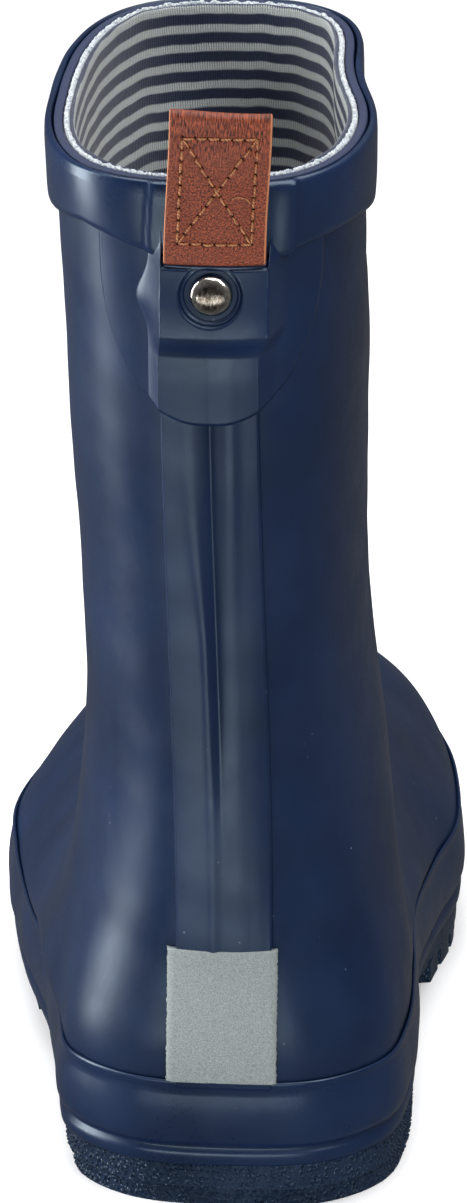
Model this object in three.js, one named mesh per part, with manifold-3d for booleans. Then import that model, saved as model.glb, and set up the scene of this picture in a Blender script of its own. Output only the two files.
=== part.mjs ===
// A child's left rubber deck boot: moulded navy shell, rubber sole parts, knit lining
// and a leather pull tab held by a rubber pocket and a rivet.
// Millimetres, +Z up, +Y to the toe, +X to the medial (arch) side.
// The origin is the centre of the heel's ground face.

import * as THREE from 'three';
import { mergeVertices } from 'three/addons/utils/BufferGeometryUtils.js';
import Module from 'manifold-3d';

const wasm = await Module();
wasm.setup();

// ---------------------------------------------------------------- driving dimensions

const gap = 0.3; // clearance between touching pieces
const around = 32; // points round each section of the boot
const outlineSteps = 56; // points round the sole

// layers of the upper, measured inwards from the outside of the rubber
const rubberThick = 1.7;
const backingThick = 1.1;
const knitThick = 0.8;
const backingOuter = rubberThick + gap;
const knitOuter = backingOuter + backingThick + gap;
const insideFace = knitOuter + knitThick;

// heights of the layers underfoot
const outsoleTop = 9.4;
const foxingBottom = outsoleTop + 0.35;
const foxingTop = 26;
const boardThick = 1.6;
const boardBottom = 10 + rubberThick + gap;
const backingFloor = boardBottom + boardThick + gap;
const knitFloor = backingFloor + backingThick + gap;
const footbedBottom = knitFloor + knitThick + gap;
const footbedThick = 3.6;
const coverBottom = footbedBottom + footbedThick + gap;
const coverThick = 0.9;

const heelBreast = 40; // where the heel block ends
const plateBottom = 4.5;
const lugPitch = 9;
const lugWidth = 6.4;
const firstLug = 76;
const lugCount = 12;
const lugSkew = 0.25;
const treadInset = 2.4;

const stripHalfWidth = 9.3;
const stripThick = 1.0;
const shieldHalfWidth = 21;
const shieldThick = 0.6;
const shieldLow = 157;
const shieldShoulder = 191;

const rivetHeight = 183.5;
const rivetX = -2.7;
const rivetCapRadius = 4;
const rivetPostRadius = 1.5;
const burrRadius = 4.4;

const pocketLow = 174;
const pocketHigh = 190;
const pocketHalfWidth = 10.5;
const pocketBevel = 1.9;
const pocketBase = 2 * gap + stripThick + shieldThick + gap; // height of the pocket's foot above the shell
const leatherThick = 1.2;
const leatherInner = pocketBase + 1.2; // leaves room for the collar band to swell behind the tab
const foldSlot = 0.3;
const pocketCavityTop = leatherInner + leatherThick + gap;
const pocketTop = pocketCavityTop + 1.1;
const tabHalfWidth = 8.9;
const tabPocketHalfWidth = tabHalfWidth + gap;
const tabLow = pocketHigh + 0.6;
const tabHigh = 222;
const tabOuter = leatherInner + 2 * leatherThick + foldSlot;

// ---------------------------------------------------------------- shape of the boot

// Sections from the rim to the toe. Each lies in the plane through its front (or top) and
// back (or bottom) points on the centre line, given as [y, z].
const sections = [
  { front: [72, 209], back: [-28, 206], centre: -5.0, lateral: 30.8, medial: 30.0, square: 2.8, low: 1.0, egg: 0.08 },
  { front: [71, 177], back: [-27, 175], centre: -4.6, lateral: 29.4, medial: 28.9, square: 2.5, low: 1.0, egg: 0.06 },
  { front: [68, 146], back: [-25, 143], centre: -4.0, lateral: 28.4, medial: 27.5, square: 2.4, low: 1.0, egg: 0.03 },
  { front: [66, 123], back: [-24, 108], centre: -3.2, lateral: 27.4, medial: 26.6, square: 2.3, low: 1.0, egg: 0 },
  { front: [69, 105], back: [-26, 80], centre: -2.0, lateral: 28.0, medial: 27.0, square: 2.1, low: 1.0, egg: 0 },
  { front: [76, 90], back: [-30, 50], centre: -0.5, lateral: 31.0, medial: 28.5, square: 1.9, low: 1.1, egg: 0 },
  { front: [85, 79], back: [-31, 22], centre: 0.5, lateral: 36.0, medial: 30.0, square: 1.8, low: 1.35, egg: 0 },
  { front: [98, 70], back: [0, 10.6], centre: 0.5, lateral: 43.5, medial: 32.0, square: 1.8, low: 1.9, egg: 0 },
  { front: [114, 63], back: [60, 10], centre: 0.0, lateral: 50.0, medial: 35.5, square: 1.8, low: 2.4, egg: 0 },
  { front: [131, 57], back: [105, 10], centre: -2.5, lateral: 49.0, medial: 38.0, square: 1.9, low: 2.4, egg: 0 },
  { front: [150, 51], back: [138, 10], centre: -3.5, lateral: 41.5, medial: 35.5, square: 2.1, low: 2.0, egg: 0 },
  { front: [168, 42], back: [163, 11], centre: -4.5, lateral: 31.0, medial: 28.0, square: 2.2, low: 1.6, egg: 0 },
  { front: [179, 32], back: [179, 16], centre: -5.0, lateral: 16.5, medial: 16.5, square: 2.1, low: 1.2, egg: 0 },
  { front: [183, 25], back: [183, 23], centre: -5.0, lateral: 3.0, medial: 3.0, square: 2.0, low: 1.0, egg: 0 },
].map((s) => [...s.front, ...s.back, s.centre, s.lateral, s.medial, s.square, s.low, s.egg]);
const toeEnd = sections.length - 1;

// Outer edge of the sole in plan, from the heel's back round the medial side to the toe.
const soleOutline = [
  [0, -34], [19, -31], [30.5, -19.5], [34.3, 0], [34, 28], [32.5, 56], [35.3, 82], [38.5, 102],
  [37.5, 124], [34, 146], [26.5, 166], [11.5, 182], [-7, 187], [-25, 181], [-38.5, 164], [-47, 138],
  [-53, 108], [-53.3, 84], [-48.5, 56], [-42, 28], [-36.5, 0], [-31.5, -19.5], [-19, -31],
].map(([x, y]) => new THREE.Vector3(x, y, 0));
const outlineCurve = new THREE.CatmullRomCurve3(soleOutline, true, 'centripetal');
const outlinePoints = outlineCurve.getPoints(240);

function edgeOfSole(y, side) {
  let edge = 0;
  for (let i = 0; i < outlinePoints.length - 1; i += 1) {
    const a = outlinePoints[i];
    const b = outlinePoints[i + 1];
    if ((a.y - y) * (b.y - y) > 0 || a.y === b.y) continue;
    const x = a.x + ((b.x - a.x) * (y - a.y)) / (b.y - a.y);
    edge = Math.max(edge, x * side);
  }
  return edge;
}

const edgeStep = 2;
const edgeStart = -16;
const edgeEnd = 172;
const edgeTables = [-1, 1].map((side) => {
  const table = [];
  for (let y = edgeStart; y <= edgeEnd; y += edgeStep) table.push(edgeOfSole(y, side));
  return table;
});

function sideLimit(y, side) {
  const place = THREE.MathUtils.clamp((y - edgeStart) / edgeStep, 0, edgeTables[0].length - 1.001);
  const table = edgeTables[side > 0 ? 1 : 0];
  const i = Math.floor(place);
  return THREE.MathUtils.lerp(table[i], table[i + 1], place - i);
}

// Keeps the upper inside the foxing strip low down, and lets it swell above the strip.
const foxingThick = 1.9;
function keepInsideSole(x, y, z) {
  const side = Math.sign(x) || 1;
  const limit = sideLimit(y, side) - foxingThick + Math.max(0, z - foxingTop + 1) * 0.8;
  const soft = 1.0;
  const width = Math.abs(x);
  if (width < limit - 8 * soft) return x;
  return side * -soft * Math.log(Math.exp(-width / soft) + Math.exp(-limit / soft));
}

function sectionAt(t) {
  const i = THREE.MathUtils.clamp(Math.floor(t), 0, toeEnd - 1);
  const f = t - i;
  const at = (k) => {
    if (k < 0) return sections[0].map((v, c) => 2 * v - sections[1][c]);
    if (k > toeEnd) return sections[toeEnd].map((v, c) => 2 * v - sections[toeEnd - 1][c]);
    return sections[k];
  };
  const [p0, p1, p2, p3] = [at(i - 1), at(i), at(i + 1), at(i + 2)];
  if (t < 0) return p1.map((v, c) => v + f * (v - p0[c]));
  return p1.map((v, c) => {
    const slope = 0.5 * (p2[c] - p0[c]);
    const nextSlope = 0.5 * (p3[c] - v);
    const a = 2 * v - 2 * p2[c] + slope + nextSlope;
    const b = -3 * v + 3 * p2[c] - 2 * slope - nextSlope;
    return ((a * f + b) * f + slope) * f + v;
  });
}

const signedPower = (v, p) => Math.sign(v) * Math.abs(v) ** p;

// Outside of the rubber shell. u = 0 is the back (or bottom) centre line, u = PI the front (or top).
function surface(t, u) {
  const [frontY, frontZ, backY, backZ, centre, lateral, medial, square, low, egg] = sectionAt(t);
  const height = (0.5 - 0.5 * signedPower(Math.cos(u), 2 / square)) ** low;
  const sideways = signedPower(Math.sin(u), 2 / square);
  const half = sideways >= 0 ? medial : lateral;
  const y = backY + (frontY - backY) * height;
  const z = backZ + (frontZ - backZ) * height;
  const x = centre + half * sideways * (1 + egg * (0.5 - height));
  return new THREE.Vector3(keepInsideSole(x, y, z), y, z);
}

function outward(t, u) {
  const step = 0.03;
  const low = Math.max(t - step, -1);
  const high = Math.min(t + step, toeEnd);
  const alongToe = surface(high, u).sub(surface(low, u));
  const round = surface(t, u + step).sub(surface(t, u - step));
  return alongToe.cross(round).normalize();
}

const offsetPoint = (t, u, distance) => surface(t, u).addScaledVector(outward(t, u), distance);

// The section and angle of the surface point at a given x and z on the back of the boot.
function backCoordinates(x, z) {
  let t = THREE.MathUtils.clamp((206 - z) / 31, -1, 5);
  let u = 0.1 * Math.sign(x - sections[0][4]);
  const step = 0.002;
  for (let pass = 0; pass < 12; pass += 1) {
    const here = surface(t, u);
    const byT = surface(t + step, u).sub(here).divideScalar(step);
    const byU = surface(t, u + step).sub(here).divideScalar(step);
    const det = byT.x * byU.z - byU.x * byT.z;
    const dx = x - here.x;
    const dz = z - here.z;
    t += (dx * byU.z - dz * byU.x) / det;
    u = THREE.MathUtils.clamp(u + (dz * byT.x - dx * byT.z) / det, -1.4, 1.4);
  }
  return [t, u];
}

// The point a distance off the back of the boot, for a place given by x and z.
function offBack(x, z, distance) {
  const [t, u] = backCoordinates(x, z);
  return surface(t, u).addScaledVector(outward(t, u), distance);
}

// ---------------------------------------------------------------- solids

function solidFrom(geometry) {
  const bare = geometry.clone();
  for (const name of Object.keys(bare.attributes)) {
    if (name !== 'position') bare.deleteAttribute(name);
  }
  const merged = mergeVertices(bare, 1e-4);
  return new wasm.Manifold(new wasm.Mesh({
    numProp: 3,
    vertProperties: new Float32Array(merged.attributes.position.array),
    triVerts: new Uint32Array(merged.index.array),
  }));
}

function geometryFrom(solid) {
  const mesh = solid.getMesh();
  const geometry = new THREE.BufferGeometry();
  geometry.setAttribute('position', new THREE.BufferAttribute(new Float32Array(mesh.vertProperties), 3));
  geometry.setIndex(new THREE.BufferAttribute(new Uint32Array(mesh.triVerts), 1));
  geometry.computeVertexNormals();
  return geometry;
}

// A closed solid through rings of points. The ends are closed by a fan, or joined to each other.
function loft(rings, joined) {
  const count = rings[0].length;
  const positions = rings.flat().flatMap((p) => [p.x, p.y, p.z]);
  const index = [];
  const last = joined ? rings.length : rings.length - 1;
  for (let i = 0; i < last; i += 1) {
    for (let j = 0; j < count; j += 1) {
      const a = i * count + j;
      const b = i * count + ((j + 1) % count);
      const c = ((i + 1) % rings.length) * count + j;
      const d = ((i + 1) % rings.length) * count + ((j + 1) % count);
      index.push(a, c, b, b, c, d);
    }
  }
  if (!joined) {
    for (const [row, flip] of [[0, false], [rings.length - 1, true]]) {
      const middle = rings[row].reduce((sum, p) => sum.add(p), new THREE.Vector3()).divideScalar(count);
      const hub = positions.length / 3;
      positions.push(middle.x, middle.y, middle.z);
      for (let j = 0; j < count; j += 1) {
        const a = row * count + j;
        const b = row * count + ((j + 1) % count);
        index.push(...(flip ? [hub, b, a] : [hub, a, b]));
      }
    }
  }
  const geometry = new THREE.BufferGeometry();
  geometry.setAttribute('position', new THREE.Float32BufferAttribute(positions, 3));
  geometry.setIndex(index);
  return solidFrom(geometry);
}

const ringAngles = Array.from({ length: around }, (_, j) => (2 * Math.PI * j) / around);
const legRows = [0, 1, 2, 2.7, 3.4, 4, 4.6, 5.2, 5.7];
const footRows = [6.1, 6.5, 7, 7.7, 8.5, 9.3, 10.1, 10.8, 11.5, 12.1, 12.6, toeEnd];

// The whole boot form, filled, with its surface moved out or in by a distance.
function form(distance, extraTop = 0) {
  const rows = [...legRows, ...footRows];
  if (extraTop > 0) rows.unshift(-extraTop);
  return loft(rows.map((t) => ringAngles.map((u) => offsetPoint(t, u, distance))), false);
}

function outlineRing(inset, z) {
  const ring = [];
  for (let i = 0; i < outlineSteps; i += 1) {
    const at = outlineCurve.getPointAt(i / outlineSteps);
    const along = outlineCurve.getTangentAt(i / outlineSteps);
    ring.push(new THREE.Vector3(at.x - along.y * inset, at.y + along.x * inset, z));
  }
  return ring;
}

const soleSlab = (inset, low, high) => loft([outlineRing(inset, high), outlineRing(inset, low)], false);

function block(lowCorner, highCorner) {
  const size = new THREE.Vector3().subVectors(highCorner, lowCorner);
  const geometry = new THREE.BoxGeometry(size.x, size.y, size.z);
  geometry.translate(...new THREE.Vector3().addVectors(lowCorner, highCorner).divideScalar(2));
  return solidFrom(geometry);
}

const boxFrom = (x0, y0, z0, x1, y1, z1) => block(new THREE.Vector3(x0, y0, z0), new THREE.Vector3(x1, y1, z1));

// A sheet on the back of the boot between two heights. The edges and the inner and outer
// distances off the shell are functions of the height and of the place across it. A crowding
// over 1 puts more of its rows near the bottom.
function panel({ low, high, left, right, inner, outer, columns, rows, crowding = 1 }) {
  const geometry = new THREE.BoxGeometry(1, 1, 1, columns, 1, rows);
  const position = geometry.attributes.position;
  for (let i = 0; i < position.count; i += 1) {
    const z = THREE.MathUtils.lerp(low, high, (position.getZ(i) + 0.5) ** crowding);
    const x = THREE.MathUtils.lerp(left(z), right(z), position.getX(i) + 0.5);
    const distance = position.getY(i) < 0 ? outer(x, z) : inner(x, z);
    position.setXYZ(i, ...offBack(x, z, distance));
  }
  return solidFrom(geometry);
}

const seamX = (z) => -0.3 - 3.0 * THREE.MathUtils.smoothstep(z, 40, 165); // centre line of the back
const strapX = (z) => -1.9 + 1.3 * THREE.MathUtils.smoothstep(z, pocketHigh, tabHigh); // centre of the tab

const evenPanel = (centre, low, high, half, inner, outer, columns, rows) => panel({
  low,
  high,
  left: (z) => centre(z) - half,
  right: (z) => centre(z) + half,
  inner: () => inner,
  outer: () => outer,
  columns,
  rows,
});

// ---------------------------------------------------------------- rivet

const [rivetT, rivetU] = backCoordinates(rivetX, rivetHeight);
const rivetNormal = outward(rivetT, rivetU);
const rivetTurn = new THREE.Quaternion().setFromUnitVectors(new THREE.Vector3(0, 1, 0), rivetNormal);

function onRivetAxis(profile) {
  const geometry = new THREE.LatheGeometry(profile.map(([r, h]) => new THREE.Vector2(r, h)), 24);
  geometry.applyQuaternion(rivetTurn);
  geometry.translate(...surface(rivetT, rivetU));
  return solidFrom(geometry);
}

const rivetHole = onRivetAxis([[0, -4], [rivetPostRadius + gap, -4], [rivetPostRadius + gap, 12], [0, 12]]);
const burrSeat = onRivetAxis([
  [0, -knitOuter - 0.05], [burrRadius + gap, -knitOuter - 0.05], [burrRadius + gap, -rubberThick], [0, -rubberThick],
]);

function makeRivetCap() {
  const foot = pocketTop + gap;
  const postEnd = -knitOuter + gap;
  return onRivetAxis([
    [0, postEnd], [rivetPostRadius, postEnd], [rivetPostRadius, foot], [rivetCapRadius - 0.3, foot],
    [rivetCapRadius, foot + 0.35], [rivetCapRadius - 0.35, foot + 0.95], [rivetCapRadius * 0.6, foot + 1.5],
    [0, foot + 1.7],
  ]);
}

function makeRivetBurr() {
  const top = -backingOuter - gap;
  const bottom = -knitOuter + gap;
  return onRivetAxis([
    [rivetPostRadius + gap, bottom], [burrRadius, bottom], [burrRadius, top], [rivetPostRadius + gap, top],
    [rivetPostRadius + gap, bottom],
  ]);
}

// ---------------------------------------------------------------- upper and lining

const windowInset = 22;
const windowStart = 6;
const windowEnd = 150;

function lastingWindow(clearance) {
  const slab = soleSlab(windowInset + clearance, 9, boardBottom - 0.1);
  const span = boxFrom(-80, windowStart + clearance, 0, 80, windowEnd - clearance, 30);
  return slab.intersect(span);
}

const openTop = 0.25; // how far the cutting forms run past the rim, in sections

function makeShell() {
  return form(0).subtract(form(-rubberThick, openTop)).subtract(lastingWindow(0)).subtract(rivetHole);
}

const above = (z) => boxFrom(-90, -90, z, 90, 240, 260);

function makeLayer(outer, thick, floor) {
  const outside = form(-outer).intersect(above(floor));
  const inside = form(-outer - thick, openTop).intersect(above(floor + thick));
  return outside.subtract(inside);
}

const heelZone = boxFrom(-80, -60, 0, 80, 34, 58);
const toeZone = boxFrom(-80, 138, 0, 80, 220, 80);
const zoneEdge = (x0, y0, z0, x1, y1, z1) => boxFrom(x0, y0, z0, x1, y1, z1);

function makeBacking() {
  const heelRoom = zoneEdge(-80, -60, 0, 80, 34 + gap, 58 + gap);
  const toeRoom = zoneEdge(-80, 138 - gap, 0, 80, 220, 80);
  return makeLayer(backingOuter, backingThick, backingFloor)
    .subtract(heelRoom).subtract(toeRoom).subtract(burrSeat);
}

function makeKnit() {
  return makeLayer(knitOuter, knitThick, knitFloor);
}

function makeStiffener(zone) {
  const underside = boxFrom(-80, -60, 0, 80, 220, backingFloor + backingThick);
  return makeLayer(backingOuter, backingThick, backingFloor).intersect(zone).subtract(underside);
}

const insideForm = form(-insideFace - gap);
const underfoot = (low, thick, shape) => shape.intersect(boxFrom(-90, -90, low, 90, 240, low + thick));

// ---------------------------------------------------------------- sole

function makeOutsole() {
  const plate = soleSlab(0.6, plateBottom, outsoleTop);
  const tread = soleSlab(treadInset, 0, plateBottom + 0.2);
  const heelCut = boxFrom(-80, -60, -1, 80, heelBreast, 6);
  let sole = plate.add(tread.intersect(heelCut));
  for (let k = 0; k < lugCount; k += 1) {
    const bar = new THREE.BoxGeometry(140, lugWidth, 12);
    const shear = new THREE.Matrix4().makeShear(lugSkew, 0, 0, 0, 0, 0);
    bar.applyMatrix4(shear);
    bar.translate(0, firstLug + k * lugPitch, 0);
    sole = sole.add(tread.intersect(solidFrom(bar)));
  }
  for (const y of [9, 27]) {
    sole = sole.subtract(boxFrom(-60, y - 1, -1, 60, y + 1, 3));
  }
  return sole;
}

function makeFoxing() {
  const profile = [
    [20, foxingTop], [1.6, foxingTop], [0.7, 24.6], [0.15, 21], [0, 17], [0.5, 13.4], [1.2, 12.4],
    [0.6, 11.3], [0.5, foxingBottom], [20, foxingBottom],
  ];
  const ring = loft(profile.map(([inset, z]) => outlineRing(inset, z)), true);
  return ring.subtract(form(gap));
}

function makeFiller() {
  return lastingWindow(gap).intersect(boxFrom(-80, -60, 10, 80, 220, boardBottom - 2 * gap));
}

// ---------------------------------------------------------------- collar

// Lower edge of the collar band: high behind the pull tab, low at the sides and front.
const strapSwell = 0.9; // how far the band stands out over the strap behind it
const collarLower = (y) => 194.6 - 10.8 * THREE.MathUtils.smoothstep(y, -34, 26);

function collarRing(depth, distance, dip = 0) {
  return ringAngles.map((u) => {
    let [low, high] = [0, 2];
    for (let pass = 0; pass < 24; pass += 1) {
      const middle = (low + high) / 2;
      const p = surface(middle, u);
      if (p.z > collarLower(p.y) - dip) low = middle;
      else high = middle;
    }
    const place = surface(low * depth, u);
    const fromStrap = Math.abs(place.x - strapX(place.z));
    const onStrap = place.y < 0 ? 1 - THREE.MathUtils.smoothstep(fromStrap, 10.5, 14) : 0;
    const swell = distance > 1 ? strapSwell * onStrap : 0;
    return offsetPoint(low * depth, u, distance + swell);
  });
}

function makeCollar() {
  return loft([
    collarRing(0, gap), collarRing(0, 1.5), collarRing(0.12, 2.1), collarRing(0.6, 2.0),
    collarRing(0.94, 1.9), collarRing(1, 1.3), collarRing(1, gap), collarRing(0.5, gap),
  ], true);
}

const collarRoom = loft([
  collarRing(-0.2, -0.1), collarRing(-0.2, 8), collarRing(1, 8, 0.4), collarRing(1, -0.1, 0.4),
], true);

// ---------------------------------------------------------------- pieces on the back

const stripOuter = gap + stripThick;

function makeBackStrip() {
  return evenPanel(seamX, foxingTop + 0.4, 198, stripHalfWidth, gap, stripOuter, 6, 34)
    .subtract(collarRoom).subtract(rivetHole);
}

function shieldHalf(z) {
  const depth = THREE.MathUtils.clamp((shieldShoulder - z) / (shieldShoulder - shieldLow), 0, 0.995);
  return shieldHalfWidth * (1 - depth ** 2.2) ** (1 / 2.2);
}

function shieldBase(x, z) {
  const fromSeam = Math.abs(x - seamX(z));
  const onStrip = 1 - THREE.MathUtils.clamp((fromSeam - stripHalfWidth - 2.6) / 2, 0, 1);
  return gap + (stripThick + gap) * onStrip;
}

function makeShield() {
  return panel({
    low: shieldLow,
    high: 198,
    left: (z) => seamX(z) - shieldHalf(z),
    right: (z) => seamX(z) + shieldHalf(z),
    inner: shieldBase,
    outer: (x, z) => shieldBase(x, z) + shieldThick,
    columns: 16,
    rows: 10,
    crowding: 2,
  }).subtract(collarRoom).subtract(rivetHole);
}

function makePocket() {
  const wide = pocketHalfWidth + pocketBevel;
  const outer = (x, z) => {
    const fromEdge = wide - Math.abs(x - strapX(z));
    const slope = THREE.MathUtils.clamp(Math.min(fromEdge, z - pocketLow + 0.4) / pocketBevel, 0.25, 1);
    return THREE.MathUtils.lerp(pocketBase, pocketTop, slope);
  };
  const left = (z) => strapX(z) - wide;
  const right = (z) => strapX(z) + wide;
  const inner = () => pocketBase;
  const body = panel({ low: pocketLow, high: pocketHigh, left, right, inner, outer, columns: 14, rows: 8 });
  const cavityLow = pocketLow + 2;
  const cavity = evenPanel(strapX, cavityLow, pocketHigh + 2, tabPocketHalfWidth, 1, pocketCavityTop, 4, 4);
  return body.subtract(cavity).subtract(rivetHole);
}

function makeTabAnchor() {
  const low = pocketLow + 2 + gap;
  const outer = leatherInner + leatherThick;
  return evenPanel(strapX, low, pocketHigh, tabHalfWidth, leatherInner, outer, 4, 4).subtract(rivetHole);
}

// The strap folded double: two leaves joined over the top.
function makePullTab() {
  const folded = panel({
    low: tabLow,
    high: tabHigh,
    left: (z) => strapX(z) - tabHalfWidth,
    right: (z) => strapX(z) + tabHalfWidth,
    inner: (x, z) => leatherInner + 0.9 * THREE.MathUtils.smoothstep(z, tabHigh - 1.5, tabHigh),
    outer: (x, z) => tabOuter - 0.9 * THREE.MathUtils.smoothstep(z, tabHigh - 1.5, tabHigh),
    columns: 4,
    rows: 10,
  });
  const slotLow = leatherInner + leatherThick;
  const slot = evenPanel(strapX, tabLow - 1, tabHigh - 1.6, tabHalfWidth + 1, slotLow, slotLow + foldSlot, 4, 10);
  return folded.subtract(slot);
}

const stitchHalf = 6.9;
const stitchLow = 194.6;
const stitchHigh = 215.4;
const threadHalf = 0.35;

function threadRun(from, to) {
  const steps = 4;
  const along = new THREE.Vector2().subVectors(to, from).normalize();
  const [inner, outer] = [tabOuter + gap, tabOuter + gap + 0.4];
  const rings = [];
  for (let i = 0; i <= steps; i += 1) {
    const at = new THREE.Vector2().lerpVectors(from, to, i / steps);
    const side = new THREE.Vector2(-along.y, along.x).multiplyScalar(threadHalf);
    rings.push([[-1, inner], [-1, outer], [1, outer], [1, inner]].map(
      ([sign, distance]) => offBack(strapX(at.y) + at.x + sign * side.x, at.y + sign * side.y, distance),
    ));
  }
  return loft(rings, false);
}

function makeStitch() {
  const corners = [[-1, stitchLow], [1, stitchLow], [1, stitchHigh], [-1, stitchHigh]]
    .map(([side, z]) => new THREE.Vector2(side * stitchHalf, z));
  const runs = [[0, 1], [1, 2], [2, 3], [3, 0], [0, 2], [1, 3]];
  return runs.map(([a, b]) => threadRun(corners[a], corners[b])).reduce((sum, run) => sum.add(run));
}

const patchLow = 26.6;
const patchHigh = 54;
const patchHalf = 10.3;
const patchInner = stripOuter + gap;
const makePatch = () => evenPanel(seamX, patchLow, patchHigh, patchHalf, patchInner, patchInner + 0.35, 4, 6);

// ---------------------------------------------------------------- materials and the assembly

const finish = (color, roughness, metalness = 0) => new THREE.MeshStandardMaterial({ color, roughness, metalness });
const rubber = () => finish(0x1f2a50, 0.35);
const leather = () => finish(0x8a4a2c, 0.6);

const pieces = [
  ['rubber_shell', makeShell, rubber],
  ['foxing_strip', makeFoxing, rubber],
  ['outsole', makeOutsole, () => finish(0x1c2444, 0.55)],
  ['sole_filler', makeFiller, () => finish(0x2b2b2e, 0.8)],
  ['insole_board', () => underfoot(boardBottom, boardThick, form(-backingOuter)), () => finish(0xa9865c, 0.9)],
  ['lining_backing', makeBacking, () => finish(0xe6e6e2, 0.95)],
  ['knit_lining', makeKnit, () => finish(0x8d93a6, 0.95)],
  ['heel_counter', () => makeStiffener(heelZone), () => finish(0x3a3a40, 0.8)],
  ['toe_puff', () => makeStiffener(toeZone), () => finish(0x3a3a40, 0.8)],
  ['footbed', () => underfoot(footbedBottom, footbedThick, insideForm), () => finish(0x4a4f5c, 0.9)],
  ['footbed_cover', () => underfoot(coverBottom, coverThick, insideForm), () => finish(0x9aa0ad, 0.95)],
  ['collar_band', makeCollar, rubber],
  ['back_strip', makeBackStrip, rubber],
  ['heel_shield', makeShield, rubber],
  ['tab_pocket', makePocket, rubber],
  ['reflective_patch', makePatch, () => finish(0xa5ada7, 0.4, 0.2)],
  ['tab_anchor', makeTabAnchor, leather],
  ['pull_tab', makePullTab, leather],
  ['tab_stitching', makeStitch, () => finish(0xc79a64, 0.7)],
  ['rivet_cap', makeRivetCap, () => finish(0x9a8f86, 0.3, 0.9)],
  ['rivet_burr', makeRivetBurr, () => finish(0x9a8f86, 0.4, 0.9)],
];

const boot = new THREE.Group();
for (const [name, make, material] of pieces) {
  const mesh = new THREE.Mesh(geometryFrom(make()), material());
  mesh.name = name;
  boot.add(mesh);
}

export default boot;
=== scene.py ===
"""The looks of a child's navy rubber deck boot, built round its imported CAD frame.

Shape maths is in millimetres, in the frame of the CAD: +Z up, +Y to the toe, +X to the medial side.
Meshes are written in metres.
"""
import math

import bmesh
import bpy
import numpy as np
from mathutils import Matrix, Vector


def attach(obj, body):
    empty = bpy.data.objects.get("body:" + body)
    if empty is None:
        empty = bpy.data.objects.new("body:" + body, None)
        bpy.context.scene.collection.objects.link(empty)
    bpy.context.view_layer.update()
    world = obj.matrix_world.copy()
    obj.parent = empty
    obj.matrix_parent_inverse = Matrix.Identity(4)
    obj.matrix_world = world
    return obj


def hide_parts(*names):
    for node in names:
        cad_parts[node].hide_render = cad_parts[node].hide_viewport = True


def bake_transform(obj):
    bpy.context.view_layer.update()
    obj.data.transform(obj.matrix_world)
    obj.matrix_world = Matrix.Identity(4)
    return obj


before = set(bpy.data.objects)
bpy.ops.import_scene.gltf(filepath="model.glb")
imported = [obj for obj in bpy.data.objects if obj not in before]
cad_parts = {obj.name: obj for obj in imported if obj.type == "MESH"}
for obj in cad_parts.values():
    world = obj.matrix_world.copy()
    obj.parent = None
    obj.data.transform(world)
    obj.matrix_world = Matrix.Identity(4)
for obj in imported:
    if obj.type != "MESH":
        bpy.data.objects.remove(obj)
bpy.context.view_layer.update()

MM = 0.001

# ------------------------------------------------------------------ shape of the boot

# Sections from the rim to the toe: the front (or top) point's y and z, the back (or bottom) point's
# y and z, the centre's x, the lateral and medial half widths, how square, how low its widest
# place lies, and how egg-shaped it is.
SECTIONS = np.array([
    (72, 209, -28, 206, -5.0, 30.1, 29.7, 2.8, 1.0, 0.08),
    (71, 177, -27, 175, -4.6, 29.4, 28.9, 2.5, 1.0, 0.06),
    (68, 146, -25, 143, -4.0, 28.4, 27.5, 2.4, 1.0, 0.03),
    (66, 123, -24, 108, -3.2, 27.4, 26.6, 2.3, 1.0, 0),
    (69, 105, -26, 80, -2.0, 28.0, 27.0, 2.1, 1.0, 0),
    (76, 90, -30, 50, -0.5, 31.0, 28.5, 1.9, 1.1, 0),
    (85, 79, -31, 22, 0.5, 36.0, 30.0, 1.8, 1.35, 0),
    (98, 70, 0, 10.6, 0.5, 43.5, 32.0, 1.8, 1.9, 0),
    (114, 63, 60, 10, 0.0, 50.0, 35.5, 1.8, 2.4, 0),
    (131, 57, 105, 10, -2.5, 49.0, 38.0, 1.9, 2.4, 0),
    (150, 51, 138, 10, -3.5, 41.5, 35.5, 2.1, 2.0, 0),
    (168, 42, 163, 11, -4.5, 31.0, 28.0, 2.2, 1.6, 0),
    (179, 32, 179, 16, -5.0, 16.5, 16.5, 2.1, 1.2, 0),
    (183, 25, 183, 23, -5.0, 3.0, 3.0, 2.0, 1.0, 0),
], float)
TOE = len(SECTIONS) - 1
SECTION_MM = 31.5  # distance between the first sections, down the leg

SOLE_OUTLINE = np.array([
    (0, -34), (19, -31), (30.5, -19.5), (34.3, 0), (34, 28), (32.5, 56), (35.3, 82), (38.5, 102),
    (37.5, 124), (34, 146), (26.5, 166), (11.5, 182), (-7, 187), (-25, 181), (-38.5, 164), (-47, 138),
    (-53, 108), (-51.2, 84), (-46.4, 56), (-39.4, 28), (-35.4, 0), (-31.5, -19.5), (-19, -31),
], float)
FOXING_TOP = 26.0
FOXING_THICK = 1.9


def full_turn(count):
    """Even angles round a circle, from 0."""
    return np.arange(count) * 2 * np.pi / count


def walk(outline):
    """A closed outline with its first point again at the end, and the length along it to each point."""
    closed = np.vstack([outline, outline[:1]])
    steps = np.linalg.norm(np.diff(closed, axis=0), axis=1)
    return closed, np.concatenate([[0], np.cumsum(steps)])


def smooth(x, low, high):
    """0 below low, 1 above high, and an S-curve between."""
    f = np.clip((x - low) / (high - low), 0, 1)
    return f * f * (3 - 2 * f)


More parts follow.
